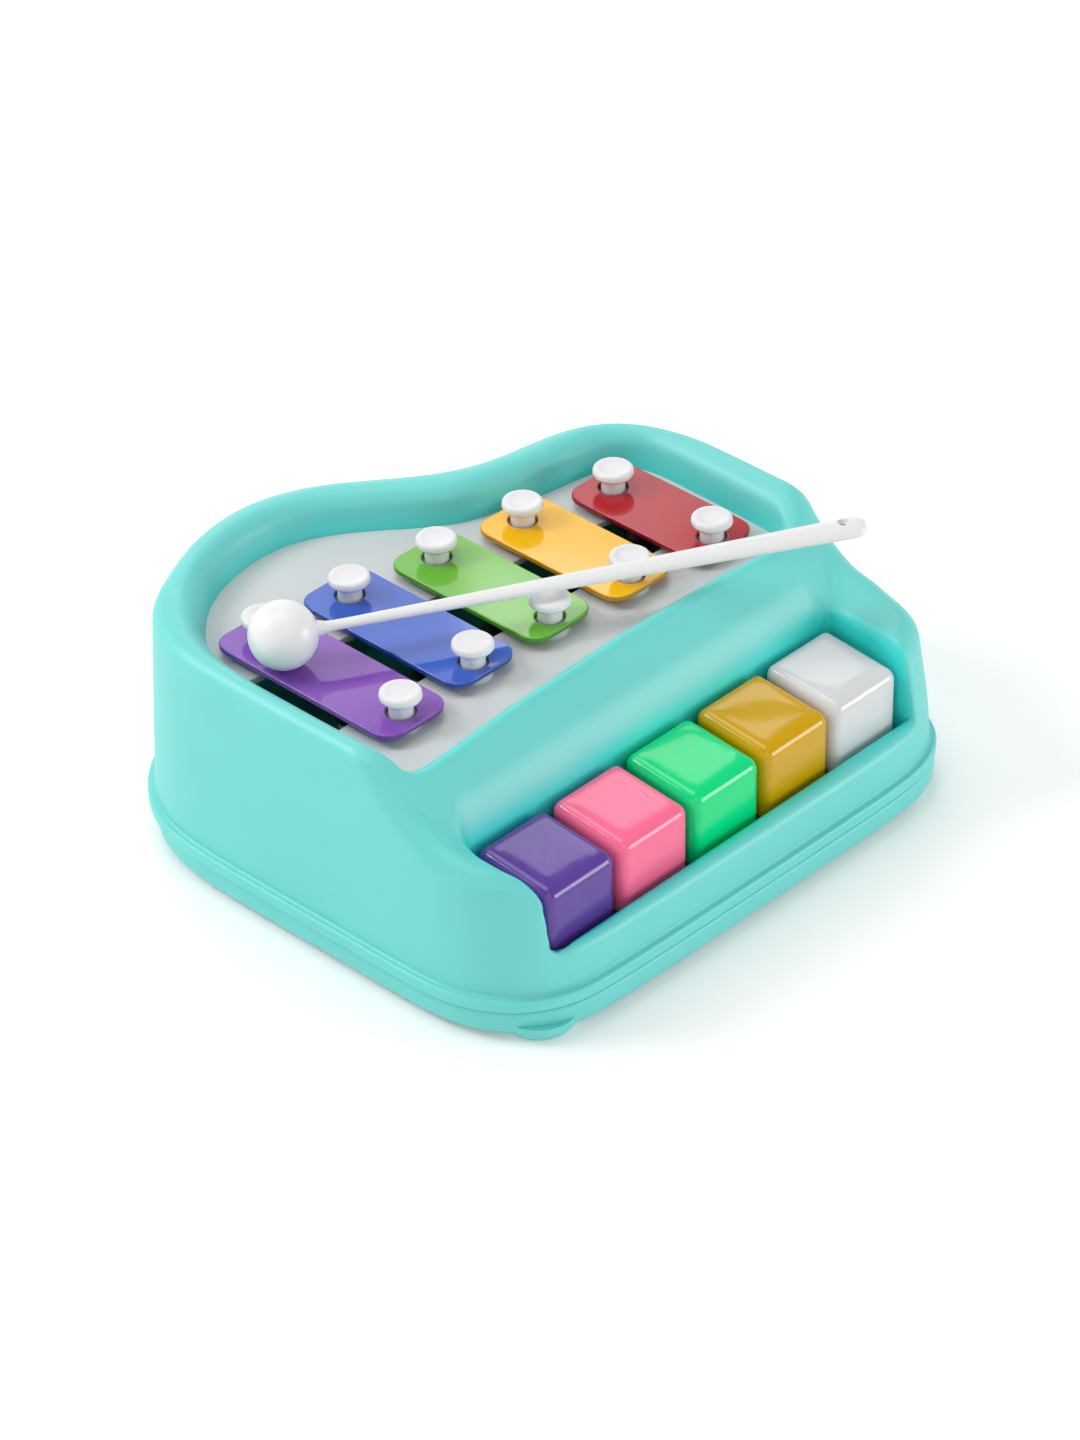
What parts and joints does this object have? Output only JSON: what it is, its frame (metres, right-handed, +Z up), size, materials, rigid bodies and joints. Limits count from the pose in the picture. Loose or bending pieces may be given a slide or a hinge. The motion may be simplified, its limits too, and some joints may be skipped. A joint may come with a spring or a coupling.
{
  "type": "toy xylophone piano",
  "caption": "Toy piano with a teal moulded housing, enamelled tone bars on mushroom pins, sprung cube keys that swing hammers against the bars, and a loose mallet.",
  "frame": {"origin": "on the plane the feet stand on, below the middle of the housing's outline", "axes": "+X along the row of keys to the player's right, +Y from the keys to the rounded rear, +Z up"},
  "size_m": [0.1901, 0.1811, 0.0864],
  "materials": {
    "teal_shell": "injection moulded ABS, soft satin gloss",
    "white_plastic": "injection moulded ABS, glossy",
    "deck_plastic": "injection moulded ABS, satin",
    "bar_enamel_purple": "sheet steel with a glossy baked enamel",
    "bar_enamel_blue": "sheet steel with a glossy baked enamel",
    "bar_enamel_green": "sheet steel with a glossy baked enamel",
    "bar_enamel_yellow": "sheet steel with a glossy baked enamel",
    "bar_enamel_red": "sheet steel with a glossy baked enamel",
    "cap_purple": "injection moulded ABS, high gloss",
    "cap_pink": "injection moulded ABS, high gloss",
    "cap_green": "injection moulded ABS, high gloss",
    "cap_gold": "injection moulded ABS, high gloss",
    "cap_white": "injection moulded ABS, high gloss",
    "steel": "drawn steel, bright",
    "felt": "pressed wool felt",
    "tip_rubber": "moulded rubber, matt"
  },
  "bodies": {
    "housing": {"upper_shell": "teal_shell", "base_shell": "teal_shell", "bar_deck": "deck_plastic", "tone_bar_purple": "bar_enamel_purple", "tone_bar_blue": "bar_enamel_blue", "tone_bar_green": "bar_enamel_green", "tone_bar_yellow": "bar_enamel_yellow", "tone_bar_red": "bar_enamel_red", "bar_pin_front_purple": "white_plastic", "bar_pin_front_blue": "white_plastic", "bar_pin_front_green": "white_plastic", "bar_pin_front_yellow": "white_plastic", "bar_pin_front_red": "white_plastic", "bar_pin_rear_purple": "white_plastic", "bar_pin_rear_blue": "white_plastic", "bar_pin_rear_green": "white_plastic", "bar_pin_rear_yellow": "white_plastic", "bar_pin_rear_red": "white_plastic", "key_spring_purple": "steel", "key_spring_pink": "steel", "key_spring_green": "steel", "key_spring_gold": "steel", "key_spring_white": "steel", "pivot_shaft": "steel", "key_stop_felt": "felt", "key_rest_felt": "felt", "case_screw_front_left": "steel", "case_screw_front_right": "steel", "case_screw_rear_left": "steel", "case_screw_rear_right": "steel"},
    "key_purple": {"key_cap_purple": "cap_purple", "key_lever_purple": "white_plastic", "hammer_tip_purple": "tip_rubber"},
    "key_pink": {"key_cap_pink": "cap_pink", "key_lever_pink": "white_plastic", "hammer_tip_pink": "tip_rubber"},
    "key_green": {"key_cap_green": "cap_green", "key_lever_green": "white_plastic", "hammer_tip_green": "tip_rubber"},
    "key_gold": {"key_cap_gold": "cap_gold", "key_lever_gold": "white_plastic", "hammer_tip_gold": "tip_rubber"},
    "key_white": {"key_cap_white": "cap_white", "key_lever_white": "white_plastic", "hammer_tip_white": "tip_rubber"},
    "mallet": {"mallet_handle": "white_plastic", "mallet_ball": "white_plastic"}
  },
  "joints": [
    {"name": "key_press_purple", "type": "hinge", "parent": "housing", "child": "key_purple", "pos_m": [-0.058, -0.033, 0.022], "axis": [1, 0, 0], "range_deg": [0, 8], "stiffness_Nm_per_rad": 0.3, "springref_deg": -8.02, "deforming": ["key_spring_purple"]},
    {"name": "key_press_pink", "type": "hinge", "parent": "housing", "child": "key_pink", "pos_m": [-0.029, -0.033, 0.022], "axis": [1, 0, 0], "range_deg": [0, 8], "stiffness_Nm_per_rad": 0.3, "springref_deg": -8.02, "deforming": ["key_spring_pink"]},
    {"name": "key_press_green", "type": "hinge", "parent": "housing", "child": "key_green", "pos_m": [0, -0.033, 0.022], "axis": [1, 0, 0], "range_deg": [0, 8], "stiffness_Nm_per_rad": 0.3, "springref_deg": -8.02, "deforming": ["key_spring_green"]},
    {"name": "key_press_gold", "type": "hinge", "parent": "housing", "child": "key_gold", "pos_m": [0.029, -0.033, 0.022], "axis": [1, 0, 0], "range_deg": [0, 8], "stiffness_Nm_per_rad": 0.3, "springref_deg": -8.02, "deforming": ["key_spring_gold"]},
    {"name": "key_press_white", "type": "hinge", "parent": "housing", "child": "key_white", "pos_m": [0.058, -0.033, 0.022], "axis": [1, 0, 0], "range_deg": [0, 8], "stiffness_Nm_per_rad": 0.3, "springref_deg": -8.02, "deforming": ["key_spring_white"]},
    {"name": "mallet_lift", "type": "slide", "parent": "housing", "child": "mallet", "axis": [0, 0, 1], "range_m": [0, 0.08]}
  ]
}
